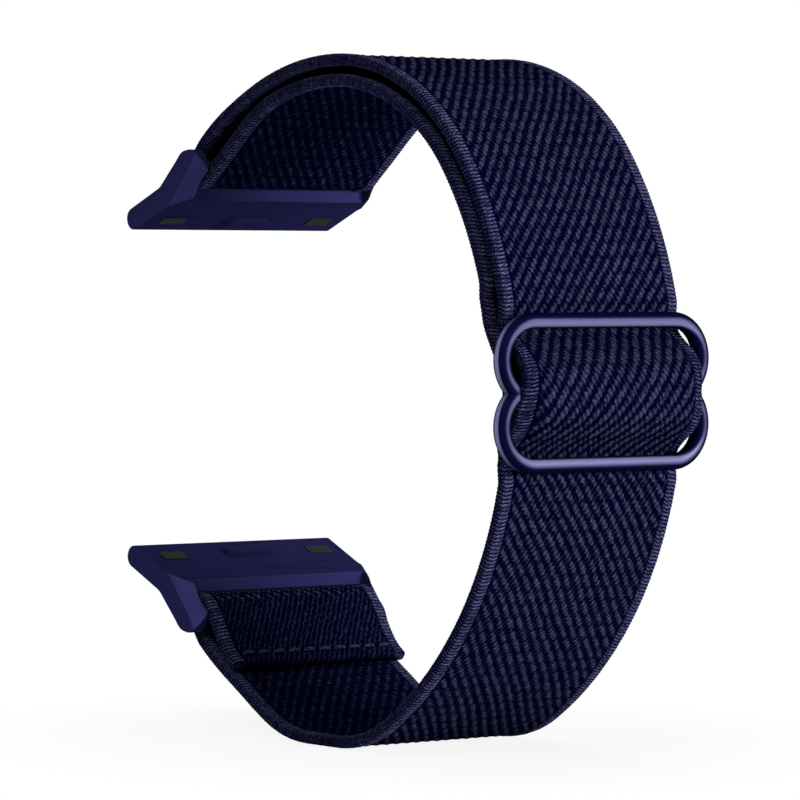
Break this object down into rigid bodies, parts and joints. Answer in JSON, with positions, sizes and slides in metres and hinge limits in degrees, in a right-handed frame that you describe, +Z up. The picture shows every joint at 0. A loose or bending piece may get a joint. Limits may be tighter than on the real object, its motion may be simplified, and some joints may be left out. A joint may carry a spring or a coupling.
{
  "type": "watch strap",
  "caption": "Elastic woven watch strap closed in a loop, with a figure-eight slider buckle and two lug adapters that slide into a square watch case.",
  "frame": {"origin": "on the floor plane under the middle of the closed loop, halfway across the strap", "axes": "+X across the strap to its right edge seen from the buckle side, -Y to the buckle, +Y to the lug adapters, +Z up the closed loop"},
  "size_m": [0.0288, 0.0667, 0.0734],
  "materials": {
    "webbing": "chunky twill weave, matt",
    "thread": "matt sewing thread",
    "buckle_metal": "smooth satin metallic blue",
    "adapter_metal": "fine blasted, anodised, satin",
    "steel": "bare steel",
    "rubber": "matt"
  },
  "bodies": {
    "strap": {"webbing_lower_fold": "webbing", "webbing_lower_run": "webbing", "webbing_outer_layer": "webbing", "webbing_upper_fold": "webbing", "webbing_inner_layer": "webbing", "flap_stitching": "thread"},
    "slider_webbing": {"webbing_buckle_pass": "webbing", "webbing_anchor_loop": "webbing", "anchor_stitching": "thread"},
    "buckle": {"buckle_frame": "buckle_metal"},
    "upper_adapter": {"upper_adapter_body": "adapter_metal", "upper_bar_tube": "steel", "upper_bar_spring": "steel", "upper_catch_springs": "steel", "upper_catch_plate": "adapter_metal", "upper_pads": "rubber"},
    "upper_plunger_left": {"upper_plunger_left": "steel"},
    "upper_plunger_right": {"upper_plunger_right": "steel"},
    "upper_catch": {"upper_catch": "adapter_metal"},
    "lower_adapter": {"lower_adapter_body": "adapter_metal", "lower_bar_tube": "steel", "lower_bar_spring": "steel", "lower_catch_springs": "steel", "lower_catch_plate": "adapter_metal", "lower_pads": "rubber"},
    "lower_plunger_left": {"lower_plunger_left": "steel"},
    "lower_plunger_right": {"lower_plunger_right": "steel"},
    "lower_catch": {"lower_catch": "adapter_metal"}
  },
  "joints": [
    {"name": "buckle_slide", "type": "hinge", "parent": "strap", "child": "slider_webbing", "pos_m": [0, 0.0118, 0.03776], "axis": [-1, 0, 0], "range_deg": [-12, 12], "deforming": ["webbing_outer_layer", "webbing_inner_layer", "webbing_lower_run"]},
    {"name": "buckle_tilt", "type": "hinge", "parent": "slider_webbing", "child": "buckle", "pos_m": [0, -0.03024, 0.03861], "axis": [1, 0, 0], "range_deg": [-6, 6], "deforming": ["webbing_buckle_pass"]},
    {"name": "upper_adapter_swing", "type": "hinge", "parent": "strap", "child": "upper_adapter", "pos_m": [0, 0.02273, 0.06107], "axis": [1, 0, 0], "range_deg": [-40, 40]},
    {"name": "upper_plunger_left_press", "type": "slide", "parent": "upper_adapter", "child": "upper_plunger_left", "axis": [1, 0, 0], "range_m": [0, 0.0007], "stiffness_N_per_m": 900, "springref_m": -0.0012, "deforming": ["upper_bar_spring"]},
    {"name": "upper_plunger_right_press", "type": "slide", "parent": "upper_adapter", "child": "upper_plunger_right", "axis": [-1, 0, 0], "range_m": [0, 0.0007], "stiffness_N_per_m": 900, "springref_m": -0.0012, "deforming": ["upper_bar_spring"]},
    {"name": "upper_catch_press", "type": "slide", "parent": "upper_adapter", "child": "upper_catch", "axis": [0, 0.4147, 0.91], "range_m": [0, 0.0007], "stiffness_N_per_m": 600, "springref_m": -0.0008, "deforming": ["upper_catch_springs"]},
    {"name": "lower_adapter_swing", "type": "hinge", "parent": "strap", "child": "lower_adapter", "pos_m": [0, 0.02184, 0.0126], "axis": [-1, 0, 0], "range_deg": [-40, 40]},
    {"name": "lower_plunger_left_press", "type": "slide", "parent": "lower_adapter", "child": "lower_plunger_left", "axis": [1, 0, 0], "range_m": [0, 0.0007], "stiffness_N_per_m": 900, "springref_m": -0.0012, "deforming": ["lower_bar_spring"]},
    {"name": "lower_plunger_right_press", "type": "slide", "parent": "lower_adapter", "child": "lower_plunger_right", "axis": [-1, 0, 0], "range_m": [0, 0.0007], "stiffness_N_per_m": 900, "springref_m": -0.0012, "deforming": ["lower_bar_spring"]},
    {"name": "lower_catch_press", "type": "slide", "parent": "lower_adapter", "child": "lower_catch", "axis": [0, 0.4147, -0.91], "range_m": [0, 0.0007], "stiffness_N_per_m": 600, "springref_m": -0.0008, "deforming": ["lower_catch_springs"]}
  ]
}
